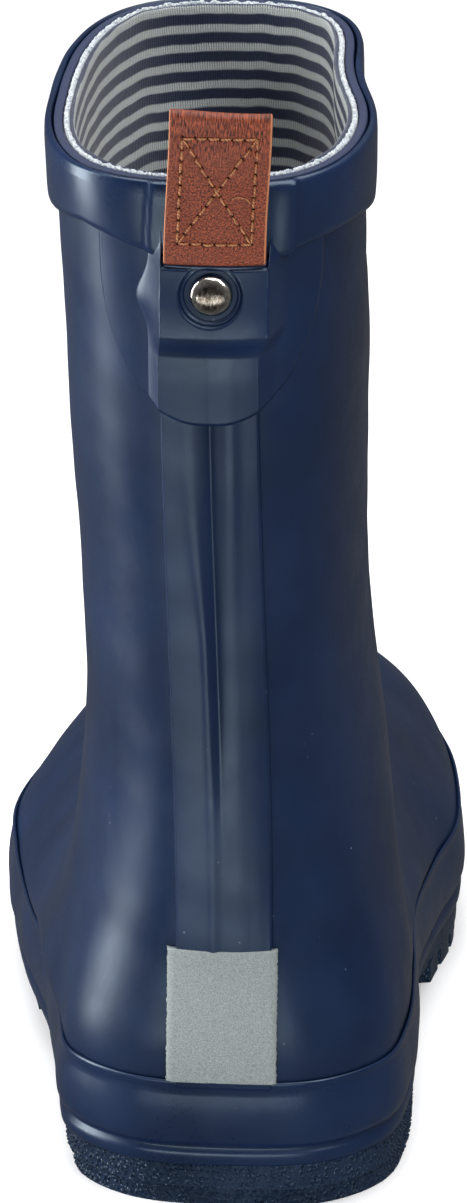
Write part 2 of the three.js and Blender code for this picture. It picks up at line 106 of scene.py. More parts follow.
def closed_spline(points, per_span=24):
    """A centripetal Catmull-Rom curve through closed points."""
    p0, p1, p2, p3 = (np.roll(points, k, 0) for k in (1, 0, -1, -2))

    def knot(a, b):
        return np.sqrt(np.linalg.norm(b - a, axis=1))[:, None]

    d0, d1, d2 = knot(p0, p1), knot(p1, p2), knot(p2, p3)
    m1 = ((p1 - p0) / d0 - (p2 - p0) / (d0 + d1) + (p2 - p1) / d1) * d1
    m2 = ((p2 - p1) / d1 - (p3 - p1) / (d1 + d2) + (p3 - p2) / d2) * d1
    f = (np.arange(per_span) / per_span)[None, :, None]
    p1, p2, m1, m2 = (v[:, None, :] for v in (p1, p2, m1, m2))
    curve = p1 + f * m1 + f**2 * (-3 * p1 + 3 * p2 - 2 * m1 - m2) + f**3 * (2 * p1 - 2 * p2 + m1 + m2)
    return curve.reshape(-1, points.shape[1])


OUTLINE = closed_spline(SOLE_OUTLINE)


def edge_table(side):
    """The sole's half width on one side, at even steps in y."""
    grid = np.arange(-16, 173, 2.0)
    here = OUTLINE[OUTLINE[:, 0] * side > 0]
    here = here[np.argsort(here[:, 1])]
    return grid, np.interp(grid, here[:, 1], here[:, 0] * side)


LATERAL_EDGE = edge_table(-1)
MEDIAL_EDGE = edge_table(1)


def keep_inside_sole(x, y, z):
    """Holds the upper inside the foxing low down, and lets it swell above the foxing."""
    edge = np.where(x > 0, np.interp(y, *MEDIAL_EDGE), np.interp(y, *LATERAL_EDGE))
    limit = edge - FOXING_THICK + np.maximum(0, z - FOXING_TOP + 1) * 0.8
    width = np.abs(x)
    near = np.exp(-np.minimum(width, 80)) + np.exp(-np.minimum(limit, 80))
    return np.where(width < limit - 8, x, np.sign(x) * -np.log(near))


def sections_at(t):
    table = np.vstack([2 * SECTIONS[0] - SECTIONS[1], SECTIONS, 2 * SECTIONS[-1] - SECTIONS[-2]])
    i = np.clip(np.floor(t).astype(int), 0, TOE - 1)
    f = (t - i)[..., None]
    p0, p1, p2, p3 = (table[i + k] for k in range(4))
    slope, next_slope = (p2 - p0) / 2, (p3 - p1) / 2
    a = 2 * p1 - 2 * p2 + slope + next_slope
    b = -3 * p1 + 3 * p2 - 2 * slope - next_slope
    return np.where(f < 0, p1 + f * (p1 - p0), ((a * f + b) * f + slope) * f + p1)


def signed_power(v, p):
    return np.sign(v) * np.abs(v) ** p


def plain_surface(t, u):
    """The sections' own surface, before it is fitted to the sole."""
    t, u = np.broadcast_arrays(np.asarray(t, float), np.asarray(u, float))
    s = sections_at(t)
    front_y, front_z, back_y, back_z, centre, lateral, medial, square, low, egg = np.moveaxis(s, -1, 0)
    height = (0.5 - 0.5 * signed_power(np.cos(u), 2 / square)) ** low
    sideways = signed_power(np.sin(u), 2 / square)
    y = back_y + (front_y - back_y) * height
    z = back_z + (front_z - back_z) * height
    x = centre + np.where(sideways >= 0, medial, lateral) * sideways * (1 + egg * (0.5 - height))
    return np.stack([keep_inside_sole(x, y, z), y, z], -1)


AXIS_X, AXIS_HEEL, AXIS_TOE = -2.0, 8.0, 140.0
END_TURN = 40.0  # millimetres of place that a radian counts for, round the heel and the toe


def sole_place(x, y):
    """Side of the sole, place along it, and distance from the axis that runs from heel to toe."""
    beyond = np.maximum(AXIS_HEEL - y, 0) + np.maximum(y - AXIS_TOE, 0)
    across = np.abs(x - AXIS_X)
    turn = END_TURN * np.arctan2(beyond, across)
    place = np.clip(y, AXIS_HEEL, AXIS_TOE) + np.where(y < AXIS_HEEL, -turn, turn) * (beyond > 0)
    return x >= AXIS_X, place, np.hypot(across, beyond)


def radius_table(points, bins):
    """Mean distance from the axis in each bin of place, on the lateral and the medial side."""
    medial, place, radius = sole_place(points[:, 0], points[:, 1])
    tables = []
    for side in (False, True):
        here = medial == side
        total, _ = np.histogram(place[here], bins, weights=radius[here])
        count, _ = np.histogram(place[here], bins)
        known = count > 0
        centres = (bins[:-1] + bins[1:])[known] / 2
        tables.append((centres, total[known] / count[known]))
    return tables


PLACE_BINS = np.linspace(AXIS_HEEL - 63, AXIS_TOE + 63, 90)
SHELL_INSET = 1.75
FILL_LOW, FILL_HIGH = 26.0, 78.0


def upper_rim_points():
    """Points of the plain surface at the height of the foxing's top."""
    points = plain_surface(np.linspace(4.2, TOE, 700)[:, None], np.linspace(-np.pi, np.pi, 900)[None, :])
    points = points.reshape(-1, 3)
    return points[np.abs(points[:, 2] - FILL_LOW) < 0.6]


SOLE_RADIUS = radius_table(OUTLINE, PLACE_BINS)
UPPER_RADIUS = radius_table(upper_rim_points(), PLACE_BINS)


def fill_to_sole(points):
    """Widens the foot low down, so that it meets the foxing all round."""
    x, y, z = np.moveaxis(points, -1, 0)
    medial, place, _ = sole_place(x, y)
    sole, upper = (np.where(medial, np.interp(place, *table[1]), np.interp(place, *table[0]))
                   for table in (SOLE_RADIUS, UPPER_RADIUS))
    share = 1 - smooth(z, FILL_LOW, FILL_HIGH)
    scale = 1 + share * ((sole - SHELL_INSET) / upper - 1)
    axis_y = np.clip(y, AXIS_HEEL, AXIS_TOE)
    return np.stack([AXIS_X + (x - AXIS_X) * scale, axis_y + (y - axis_y) * scale, z], -1)


def surface(t, u):
    """The outside of the rubber shell. u = 0 is the back or bottom, u = pi the front or top."""
    points = fill_to_sole(plain_surface(t, u))
    x, y, z = np.moveaxis(points, -1, 0)
    dent = 4.2 * np.exp(-(((y - 36) / 20) ** 2)) * smooth(z, 150, 209) * smooth(x, -5, 22)
    return np.stack([x - dent, y, z], -1)


def outward(t, u, step=0.03):
    t = np.asarray(t, float)
    along = surface(np.minimum(t + step, TOE), u) - surface(np.maximum(t - step, -1), u)
    around = surface(t, u + step) - surface(t, u - step)
    normal = np.cross(along, around)
    return normal / np.linalg.norm(normal, axis=-1, keepdims=True)


def sine_field(seed, scales, count):
    """A smooth random field over space, as a sum of sines. Returns a function of points in mm."""
    rng = np.random.default_rng(seed)
    directions = rng.normal(size=(count, 3))
    directions /= np.linalg.norm(directions, axis=1, keepdims=True)
    waves = 2 * np.pi / rng.uniform(*scales, size=count)
    phases = rng.uniform(0, 2 * np.pi, count)

    def field(points):
        return np.sin(points @ (directions * waves[:, None]).T + phases).sum(-1) / math.sqrt(count)

    return field


slow_wave = sine_field(3, (28, 70), 10)
quick_wave = sine_field(4, (9, 20), 12)


def hand_made(points):
    """The small unevenness of hand-laid rubber, in mm."""
    return 0.16 * slow_wave(points) + 0.045 * quick_wave(points)


def off(t, u, distance):
    """The point a distance off the shell, unevenness and all."""
    points = surface(t, u)
    lift = np.asarray(distance) + hand_made(points)
    return points + outward(t, u) * lift[..., None]


def back_place(x, z, start=None, passes=6):
    """The section and angle of the shell's point at a given x and z on the back of the boot."""
    x, z = np.broadcast_arrays(np.asarray(x, float), np.asarray(z, float))
    t, u = start or (np.clip((206 - z) / 31, -1, 5), 0.1 * np.sign(x - SECTIONS[0, 4]))
    step = 0.002
    for _ in range(passes):
        here = surface(t, u)
        by_t = (surface(t + step, u) - here) / step
        by_u = (surface(t, u + step) - here) / step
        det = by_t[..., 0] * by_u[..., 2] - by_u[..., 0] * by_t[..., 2]
        dx, dz = x - here[..., 0], z - here[..., 2]
        t = t + (dx * by_u[..., 2] - dz * by_u[..., 0]) / det
        u = np.clip(u + (dz * by_t[..., 0] - dx * by_t[..., 2]) / det, -1.4, 1.4)
    return t, u


def off_back(x, z, distance):
    """The point at a given x and z that lies a distance off the back of the boot."""
    x, z, distance = np.broadcast_arrays(x, z, distance)
    base_x, base_z, place = x, z, back_place(x, z)
    for _ in range(3):
        here = off(*place, distance)
        base_x = base_x + x - here[..., 0]
        base_z = base_z + z - here[..., 2]
        place = back_place(base_x, base_z, place, 2)
    return off(*place, distance)


def seam_x(z):
    """Centre line of the back."""
    return -0.3 - 3.0 * smooth(z, 40, 165)


# ------------------------------------------------------------------ meshes

def add_object(name, points, faces, uvs=None):
    """A mesh object from points in mm and lists of corner indices, with an optional uv per corner."""
    mesh = bpy.data.meshes.new(name)
    mesh.from_pydata((np.asarray(points) * MM).tolist(), [], faces)
    if uvs is not None:
        layer = mesh.uv_layers.new(name="UVMap")
        layer.data.foreach_set("uv", np.asarray(uvs, np.float32).ravel())
    mesh.polygons.foreach_set("use_smooth", [True] * len(mesh.polygons))
    mesh.update()
    piece = bpy.data.objects.new(name, mesh)
    bpy.context.scene.collection.objects.link(piece)
    return piece


def loft(name, rings, joined=False, uv=None):
    """A closed solid through rings of points: an array of rings by points by 3.

    The ends are closed by fans, or joined to each other. uv gives each ring point's uv in mm, with one
    more column than the points, so that the seam closes.
    """
    rings = np.asarray(rings, float)
    rows, count = rings.shape[:2]
    points = rings.reshape(-1, 3)
    faces, corners = [], []
    for i in range(rows if joined else rows - 1):
        k = (i + 1) % rows
        for j in range(count):
            m = (j + 1) % count
            faces.append((i * count + j, k * count + j, k * count + m, i * count + m))
            if uv is not None:
                corners += [uv[i, j], uv[k, j], uv[k, j + 1], uv[i, j + 1]]
    if not joined:
        for row, flip in ((0, True), (rows - 1, False)):
            hub = len(points)
            points = np.vstack([points, rings[row].mean(0)])
            for j in range(count):
                a, b = row * count + j, row * count + (j + 1) % count
                faces.append((hub, b, a) if not flip else (hub, a, b))
                if uv is not None:
                    corners += [uv[row, j]] * 3
    return add_object(name, points, faces, corners if uv is not None else None)


def slab(name, outer, inner, uv=None):
    """A closed solid between two grids of points, joined round their edges."""
    rows, columns = outer.shape[:2]
    count = rows * columns
    points = np.vstack([outer.reshape(-1, 3), inner.reshape(-1, 3)])
    corner_uv = np.zeros((count, 2)) if uv is None else uv.reshape(-1, 2)
    faces = []
    for i in range(rows - 1):
        for j in range(columns - 1):
            a = i * columns + j
            quad = (a, a + 1, a + columns + 1, a + columns)
            faces.append(quad)
            faces.append(tuple(count + k for k in reversed(quad)))
    rim = list(range(columns)) + [i * columns + columns - 1 for i in range(1, rows)]
    rim += [(rows - 1) * columns + j for j in range(columns - 2, -1, -1)]
    rim += [i * columns for i in range(rows - 2, 0, -1)]
    for a, b in zip(rim, rim[1:] + rim[:1]):
        faces.append((b, a, count + a, count + b))
    corners = [corner_uv[k % count] for face in faces for k in face]
    return add_object(name, points, faces, corners)


def set_attribute(piece, name, values):
    layer = piece.data.attributes.new(name, "FLOAT", "POINT")
    layer.data.foreach_set("value", np.asarray(values, np.float32))


def finish_piece(piece, body, slot, *nodes, material=None):
    """Material, body and the CAD nodes that a piece stands for, which are hidden. slot is not used."""
    if material is not None:
        piece.data.materials.append(material)
    if body is not None:
        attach(piece, body)
    if nodes:
        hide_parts(*nodes)
    return piece


# ------------------------------------------------------------------ materials

class Nodes:
    """A short way to write a material's nodes."""

    def __init__(self, name):
        self.material = bpy.data.materials.new(name)
        self.material.use_nodes = True
        self.tree = self.material.node_tree
        self.shader = self.tree.nodes["Principled BSDF"]

    def add(self, kind, inputs=None, **settings):
        node = self.tree.nodes.new(kind)
        for key, value in settings.items():
            setattr(node, key, value)
        for key, value in (inputs or {}).items():
            self.put(node, key, value)
        return node

    def put(self, node, key, value):
        socket = node.inputs[key]
        if isinstance(value, bpy.types.NodeSocket):
            self.tree.links.new(value, socket)
        else:
            socket.default_value = value

    def shade(self, **inputs):
        for key, value in inputs.items():
            self.put(self.shader, key.replace("_", " "), value)

    def coordinates(self, kind="Object"):
        return self.add("ShaderNodeTexCoord").outputs[kind]

    def noise(self, scale, detail=4.0, roughness=0.55, vector=None):
        inputs = {"Scale": scale, "Detail": detail, "Roughness": roughness}
        inputs["Vector"] = vector or self.coordinates()
        return self.add("ShaderNodeTexNoise", inputs).outputs["Fac"]

    def cells(self, scale, vector=None):
        inputs = {"Scale": scale, "Vector": vector or self.coordinates()}
        return self.add("ShaderNodeTexVoronoi", inputs).outputs["Distance"]

    def math(self, operation, a, b=0.0):
        return self.add("ShaderNodeMath", {0: a, 1: b}, operation=operation).outputs[0]

    def span(self, value, low, high, to_low=0.0, to_high=1.0):
        """Maps low..high to to_low..to_high, and holds the ends."""
        inputs = {0: value, 1: low, 2: high, 3: to_low, 4: to_high}
        return self.add("ShaderNodeMapRange", inputs, clamp=True).outputs[0]

    def mix(self, factor, a, b):
        """Blends two colours. Sockets 0, 6 and 7 are the factor and the two colours."""
        return self.add("ShaderNodeMix", {0: factor, 6: a, 7: b}, data_type="RGBA").outputs[2]

    def attribute(self, name):
        return self.add("ShaderNodeAttribute", attribute_name=name).outputs["Fac"]

    def bump(self, height, distance, strength=1.0, normal=None):
        inputs = {"Height": height, "Distance": distance, "Strength": strength}
        if normal is not None:
            inputs["Normal"] = normal
        return self.add("ShaderNodeBump", inputs).outputs["Normal"]

    def split(self, vector):
        return self.add("ShaderNodeSeparateXYZ", {0: vector}).outputs


def rgb(red, green, blue):
    """A linear colour from sRGB numbers of 0 to 255."""
    def linear(v):
        v /= 255
        return v / 12.92 if v <= 0.04045 else ((v + 0.055) / 1.055) ** 2.4

    return (linear(red), linear(green), linear(blue), 1.0)


def rubber_material(name, dark, light, roughness=(0.3, 0.46), specular=0.42, dust=0.3, pimples=0.0):
    """Moulded navy rubber: cloudy colour, fine grain, bloom and a few specks of dust."""
    n = Nodes(name)
    cloud = n.noise(28, 5, 0.6)
    colour = n.mix(n.span(cloud, 0.35, 0.7), dark, light)
    speck = n.span(n.cells(420), 0.05, 0.11, 1.0, 0.0)
    rare = n.span(n.noise(160, 2), 0.6, 0.68)
    speck = n.math("MULTIPLY", n.math("MULTIPLY", speck, rare), dust)
    colour = n.mix(speck, colour, rgb(150, 158, 170))
    grain = n.noise(1500, 3, 0.6)
    smear = n.noise(60, 6, 0.65)
    shine = n.span(n.math("ADD", n.math("MULTIPLY", smear, 0.7), n.math("MULTIPLY", grain, 0.3)),
                   0.35, 0.65, *roughness)
    normal = n.bump(grain, 0.00002, 0.45)
    normal = n.bump(n.noise(130, 3, 0.5), 0.00012, 0.3, normal)
    if pimples:
        normal = n.bump(n.span(n.cells(1000), 0.18, 0.5, 1.0, 0.0), pimples, 1.0, normal)
    n.shade(Base_Color=colour, Roughness=shine, Normal=normal)
    n.shade(Specular_IOR_Level=specular, Specular_Tint=(0.68, 0.86, 1.0, 1.0))
    return n.material


def cut_rubber_material():
    """The matte, paler edge where the rubber sheet was trimmed."""
    n = Nodes("cut_rubber")
    streaks = n.noise(1400, 3, 0.7)
    colour = n.mix(n.span(streaks, 0.35, 0.7), rgb(10, 22, 50), rgb(22, 38, 74))
    n.shade(Base_Color=colour, Roughness=0.7, Normal=n.bump(streaks, 0.00006, 0.6))
    return n.material


def knit_material():
    """Striped rib knit. The uv runs round the leg and down from the rim, in mm."""
    n = Nodes("striped_knit")
    around, down, _ = n.split(n.coordinates("UV"))
    wale = 0.5
    place = n.math("FRACT", n.math("DIVIDE", around, wale))
    arm = n.math("ABSOLUTE", n.math("SUBTRACT", place, 0.5))
    slant = n.math("ADD", down, n.math("MULTIPLY", arm, 0.7))
    wobble = n.math("MULTIPLY", n.math("SUBTRACT", n.noise(70, 3), 0.5), 1.0)
    stripe_place = n.math("FRACT", n.math("DIVIDE", n.math("ADD", slant, wobble), 3.75))
    stripe = n.math("MULTIPLY", n.span(stripe_place, 0.03, 0.09), n.span(stripe_place, 0.46, 0.52, 1, 0))
    course = n.math("FRACT", n.math("DIVIDE", slant, 0.5))
    loop = n.span(n.math("ABSOLUTE", n.math("SUBTRACT", course, 0.5)), 0.15, 0.5, 1, 0)
    rib = n.span(arm, 0.0, 0.32)
    gutter = n.span(arm, 0.40, 0.5, 0, 1)
    lint = n.noise(2500, 2, 0.7)
    dark = n.mix(lint, rgb(14, 22, 48), rgb(44, 58, 92))
    pale = n.mix(lint, rgb(168, 176, 176), rgb(232, 236, 232))
    colour = n.mix(stripe, dark, pale)
    shadow = n.math("MULTIPLY", n.math("MAXIMUM", n.math("SUBTRACT", 1.0, rib), gutter), 0.75)
    colour = n.mix(shadow, colour, n.mix(stripe, rgb(6, 10, 22), rgb(60, 68, 82)))
    height = n.math("ADD", n.math("MULTIPLY", rib, 0.6), n.math("MULTIPLY", loop, 0.4))
    n.shade(Base_Color=colour, Roughness=0.95, Normal=n.bump(height, 0.0003, 0.7))
    n.shade(Sheen_Weight=0.25, Sheen_Roughness=0.5, Specular_IOR_Level=0.2)
    return n.material


def fleece_material():
    """White fleece with grey-blue between its fibres."""
    n = Nodes("raw_fleece")
    fibre = n.noise(1800, 4, 0.75)
    colour = n.mix(n.span(fibre, 0.3, 0.6), rgb(62, 76, 104), rgb(206, 213, 216))
    n.shade(Base_Color=colour, Roughness=0.95, Normal=n.bump(fibre, 0.0004, 0.9))
    n.shade(Sheen_Weight=0.5, Sheen_Roughness=0.4, Specular_IOR_Level=0.2)
    return n.material


def leather_material():
    """Brown leather. The uv runs across and along the strap, in mm, from the pocket upwards."""
    n = Nodes("brown_leather")
    uv = n.coordinates("UV")
    streaked = n.add("ShaderNodeMapping", {"Vector": uv, "Scale": (1.5, 0.22, 1.0)}).outputs[0]
    fibres = n.noise(3.0, 5, 0.7, streaked)
    pebbles = n.noise(2.7, 6, 0.75, uv)
    near_fold = n.span(n.split(uv)[1], 17.0, 27.0)
    grain = n.mix(near_fold, pebbles, fibres)
    pores = n.cells(2.6, uv)
    cloud = n.noise(0.25, 3, 0.5, uv)
    colour = n.mix(n.span(grain, 0.42, 0.6), rgb(52, 17, 9), rgb(160, 76, 46))
    colour = n.mix(n.math("MULTIPLY", n.span(cloud, 0.4, 0.65), 0.3), colour, rgb(88, 34, 20))
    colour = n.mix(n.math("MULTIPLY", n.span(pores, 0.0, 0.25, 1, 0), 0.5), colour, rgb(44, 14, 8))
    pale = n.mix(n.noise(9, 3, 0.6, uv), rgb(160, 94, 58), rgb(200, 134, 90))
    colour = n.mix(n.attribute("edge"), colour, pale)
    # painted shade: the stitch holes are coloured near black
    colour = n.mix(n.attribute("hole"), colour, rgb(14, 7, 5))
    height = n.math("ADD", n.math("MULTIPLY", grain, 0.7), n.math("MULTIPLY", pores, 0.3))
    n.shade(Base_Color=colour, Roughness=n.span(grain, 0.3, 0.7, 0.42, 0.62))
    n.shade(Normal=n.bump(height, 0.0003, 0.8), Specular_IOR_Level=0.35)
    return n.material


def thread_material():
    """Tan twisted thread."""
    n = Nodes("tan_thread")
    twist = n.add("ShaderNodeTexWave", {"Vector": n.coordinates(), "Scale": 900.0, "Distortion": 2.0},
                  bands_direction="DIAGONAL").outputs["Fac"]
    colour = n.mix(twist, rgb(112, 66, 36), rgb(176, 118, 72))
    n.shade(Base_Color=colour, Roughness=0.6, Normal=n.bump(twist, 0.00005, 0.7))
    return n.material


def steel_material():
    """A dull nickel rivet, scratched and pitted, with a painted dark reflection over the middle of its
    dome.
    """
    n = Nodes("nickel")
    pits = n.noise(900, 5, 0.7)
    scratches = n.add("ShaderNodeMapping", {"Vector": n.coordinates(), "Scale": (1.0, 1.0, 0.2),
                                            "Rotation": (0.0, 0.6, 0.0)}).outputs[0]
    scratches = n.noise(2400, 2, 0.6, scratches)
    stain = n.span(n.noise(1300, 4, 0.65), 0.4, 0.62)
    bright = n.mix(stain, rgb(222, 219, 212), rgb(186, 180, 170))
    painted_dark_reflection = n.mix(stain, rgb(108, 103, 96), rgb(58, 52, 46))
    # painted dark reflection: the dome's middle gets the darker colour
    colour = n.mix(n.attribute("painted_dark_reflection"), bright, painted_dark_reflection)
    roughness = n.span(n.math("ADD", pits, scratches), 0.8, 1.2, 0.1, 0.26)
    n.shade(Base_Color=colour, Metallic=1.0, Roughness=roughness)
    n.shade(Normal=n.bump(n.math("ADD", pits, scratches), 0.00002, 0.5))
    return n.material


def reflector_material():
    """Grey retroreflective film: fine glass beads on cloth."""
    n = Nodes("reflective_film")
    beads = n.noise(4200, 2, 0.6)
    weave = n.noise(1100, 4, 0.7)
    colour = n.mix(n.span(beads, 0.35, 0.65), rgb(92, 100, 101), rgb(128, 136, 135))
    colour = n.mix(n.math("MULTIPLY", n.span(weave, 0.5, 0.75), 0.5), colour, rgb(104, 112, 114))
    n.shade(Base_Color=colour, Roughness=n.span(beads, 0.3, 0.7, 0.45, 0.7))
    n.shade(Normal=n.bump(n.math("ADD", beads, weave), 0.00005, 0.6))
    return n.material


def plain_material(name, dark, light, roughness, scale):
    """A hidden or backing material: two mottled tones with a fine bump."""
    n = Nodes(name)
    mottle = n.noise(scale, 5, 0.65)
    n.shade(Base_Color=n.mix(mottle, dark, light), Roughness=roughness)
    n.shade(Normal=n.bump(mottle, 0.0001, 0.5))
    return n.material


NAVY_DARK, NAVY_LIGHT = rgb(7, 21, 46), rgb(14, 31, 62)
navy = rubber_material("navy_rubber", NAVY_DARK, NAVY_LIGHT)
navy_gloss = rubber_material("navy_rubber_gloss", NAVY_DARK, NAVY_LIGHT, (0.24, 0.38), 0.5)
sole_navy = rubber_material("sole_rubber", rgb(12, 26, 46), rgb(22, 38, 62), (0.3, 0.44), 0.5, 0.5, 0.0003)
cut_rubber = cut_rubber_material()
knit = knit_material()
fleece = fleece_material()
leather = leather_material()
thread = thread_material()
nickel = steel_material()
film = reflector_material()

# ------------------------------------------------------------------ rubber shell and lining

SHELL_THICK = 1.7
SHELL_COLUMNS = 240
BACKING_OUTER, BACKING_INNER = 1.9, 3.0
KNIT_OUTER, KNIT_INNER = 3.0, 3.9
BACKING_FLOOR, KNIT_FLOOR = 13.9, 15.3


def sock(outer, inner, rows, columns, rim, floor=None):
    """A layer of the upper: inner and outer faces from rim to toe, joined over the rim.

    rim gives (depth in mm, distance) pairs across the cut edge, from the inside to the outside.
    """
    u = full_turn(columns)
    inside = np.stack([off(t, u, -inner) for t in rows[::-1]])
    outside = np.stack([off(t, u, -outer) for t in rows])
    if floor is not None:
        inside[..., 2] = np.maximum(inside[..., 2], floor + inner - outer)
        outside[..., 2] = np.maximum(outside[..., 2], floor)
    lip = np.stack([off(depth / SECTION_MM, u, -distance) for depth, distance in rim])
    return np.concatenate([inside, lip, outside])


def ring_uv(rings):
    """Uv in mm: round each ring from the back, and along the middle of the rings."""
    closed = np.concatenate([rings, rings[:, :1]], 1)
    round_step = np.linalg.norm(np.diff(closed, axis=1), axis=2)
    first = np.argmin(np.abs(np.arange(len(rings)) - len(rings) // 2))
    around = np.concatenate([[0], np.cumsum(round_step[first])])
    down_step = np.linalg.norm(np.diff(closed, axis=0), axis=2)
    down = np.concatenate([np.zeros((1, closed.shape[1])), np.cumsum(down_step, 0)])
    return np.stack([np.broadcast_to(around, down.shape), down], -1)


def build_shell():
    rows = np.concatenate([np.linspace(0.02, 6, 190), np.linspace(6.03, TOE, 150)])
    rim = [(0.25, 1.66), (0.06, 1.55), (0.0, 1.35), (0.0, 0.85), (0.0, 0.4), (0.05, 0.2), (0.22, 0.04)]
    rings = sock(0, SHELL_THICK, rows, SHELL_COLUMNS, rim)
    piece = loft("rubber_shell_skin", rings)
    piece.data.materials.append(navy)
    piece.data.materials.append(cut_rubber)
    first = (len(rows) - 1) * SHELL_COLUMNS
    last = first + len(rim) * SHELL_COLUMNS
    for face in piece.data.polygons[first:last]:
        face.material_index = 1
    return finish_piece(piece, "boot", "navy_rubber", "rubber_shell")


def build_backing():
    """The fleece: its raw edge shows as a ragged white line round the rim."""
    rows = np.concatenate([[0.03, 0.06, 0.1, 0.2], np.linspace(0.4, TOE, 60)])
    rim = [(0.3, 2.95), (0.0, 2.8), (-0.12, 2.45), (0.0, 2.1), (0.3, 1.95)]
    rings = sock(BACKING_OUTER, BACKING_INNER, rows, 1200, rim, BACKING_FLOOR)
    rng = np.random.default_rng(8)
    top = slice(len(rows) - 4, len(rows) + len(rim) + 4)
    ragged = sine_field(21, (0.9, 2.4), 14)
    edge = rings[top]
    edge[..., 2] += 0.18 * ragged(edge)
    edge += rng.uniform(-0.11, 0.11, edge.shape)
    return finish_piece(loft("fleece_backing", rings), "boot", "fleece", "lining_backing", material=fleece)


def build_knit():
    rows = np.concatenate([np.linspace(0.02, 6, 150), np.linspace(6.1, TOE, 60)])
    rim = [(0.25, 3.85), (0.1, 3.6), (0.1, 3.3), (0.25, 3.05)]
    rings = sock(KNIT_OUTER, KNIT_INNER, rows, 300, rim, KNIT_FLOOR)
    inner_count = len(rows)
    wavy = sine_field(5, (5, 16), 8)
    fade = np.exp(-np.abs(np.arange(len(rings)) - inner_count) / 5)[:, None]
    rings[..., 2] += 0.22 * wavy(rings) * fade
    uv = ring_uv(rings)
    uv[..., 1] = uv[inner_count:inner_count + 1, :, 1] - uv[..., 1]
    piece = loft("striped_lining", rings, uv=uv)
    return finish_piece(piece, "boot", "knit", "knit_lining", material=knit)


build_shell()
build_backing()
build_knit()

# ------------------------------------------------------------------ collar band

STRAP_X = -1.9
TAB_LEAN = 1.3
MOUTH = 191.3


def strap_x(z):
    return STRAP_X + TAB_LEAN * smooth(z, MOUTH, 222)


def collar_lower(x, y):
    """Height of the collar's lower edge: it dips beside the tab and drops towards the front."""
    beside = np.abs(x - STRAP_X)
    dip = 4.6 * np.clip(1 - (beside - 10.5) / 14, 0, 1) * (y < 0)
    return 195.8 - dip - 7.4 * smooth(y, -34, 26)


def build_collar():
    columns = 360
    u = full_turn(columns)
    low, high = np.zeros(columns), np.full(columns, 2.0)
    for _ in range(26):
        middle = (low + high) / 2
        p = surface(middle, u)
        above = p[:, 2] > collar_lower(p[:, 0], p[:, 1])
        low, high = np.where(above, middle, low), np.where(above, high, middle)
    depth = low * SECTION_MM
    opening = smooth(sine_field(11, (26, 60), 7)(surface(0, u)), -0.9, 0.5)
    groove = 0.1 + 0.34 * opening

    profile = [(2.6, -0.2, 0), (2.4, 0.05, 0), (1.9, 0, 1), (0.5, 0, 1), (0.12, 0.12, 1), (0, 0.35, 1),
               (0, 1.0, 0), (0.08, 1.35, 0), (0.35, 1.62, 0), (0.9, 1.78, 0), (1.8, 1.84, 0)]
    rings = []
    for mm, distance, in_groove in profile:
        distance = distance + in_groove * groove
        rings.append((np.full(columns, mm), np.broadcast_to(distance, columns)))
    for f in np.linspace(0.16, 0.88, 26):
        rings.append((f * depth, np.full(columns, 1.84 - 0.1 * f + 0.15 * math.sin(math.pi * f))))
    for mm, distance in ((1.3, 1.74), (0.8, 1.6), (0.35, 1.3), (0.1, 0.9), (0, 0.4), (0, -0.25)):
        rings.append((depth - mm, np.full(columns, distance)))
    rings.append((depth * 0.5, np.full(columns, -0.3)))

    points = []
    for mm, distance in rings:
        t = mm / SECTION_MM
        here = surface(t, u)
        a = here[:, 0] - strap_x(here[:, 2])
        left = smooth(a, -13.2, -11.0)
        right = smooth(-a, -13.5, -13.0) * (0.5 + 0.5 * smooth(a, 9.3, 12.8))
        swell = 1.3 * np.minimum(left, right) * (here[:, 1] < 0)
        points.append(off(t, u, distance + np.where(distance > 1, swell, swell * 0.3)))
    return finish_piece(loft("collar", np.stack(points), joined=True), "boot", "navy_rubber",
                        "collar_band", material=navy_gloss)


build_collar()

# ------------------------------------------------------------------ pieces laid on the back

STRIP_HALF = 9.3
SHIELD_HALF, SHIELD_LOW, SHIELD_SHOULDER = 21.0, 157.3, 191.0
POCKET_HALF, POCKET_TOP = 10.06, 6.6
POCKET_LOW, POCKET_BEND = 171.6, 177.2  # where the strap's face starts to rise, and is level
RIVET_X, RIVET_Z = -2.6, 185.2


def strip_relief(x, z):
    """Height of the back strip over the shell: flat, with a sharp sunk seam between two soft ridges."""
    a = x - seam_x(z)
    ridged = smooth(z, 70, 110)
    spread = smooth(z, 108, 150)
    seam = 1.15 * np.exp(-np.abs(a) / (0.9 + 0.5 * ridged)) * (0.12 + 0.88 * ridged)
    left = (0.62 - 0.3 * spread) * np.exp(-(((a + 1.9 + 2.0 * spread) / (1.0 + 0.8 * spread)) ** 2))
    right = 0.5 * np.exp(-(((a - 2.9 - 0.9 * spread) / 1.6) ** 2)) * (0.35 + 0.65 * spread)
    return 1.15 + 0.3 * (a / STRIP_HALF) ** 2 - seam + (left + right) * (0.4 + 0.6 * ridged)


def strap_sides(z):
    """The left and right corners of the raised plate: it is narrower and further left low down."""
    up = smooth(z, 170, 178)
    left = (1 - up) * (seam_x(z) - STRIP_HALF) + up * (strap_x(z) - POCKET_HALF)
    right = (1 - up) * (seam_x(z) + STRIP_HALF) + up * (strap_x(z) + POCKET_HALF)
    return left, right


def strap_height(z):
    """Height of the plate's face over the back strip."""
    low = 0.85 + 0.5 * smooth(z, SHIELD_LOW, 168)
    lean = 1.5 * smooth(z, POCKET_BEND - 1, MOUTH + 1)
    return low + (POCKET_TOP - 1.35 - low) * smooth(z, POCKET_LOW, POCKET_BEND) - lean


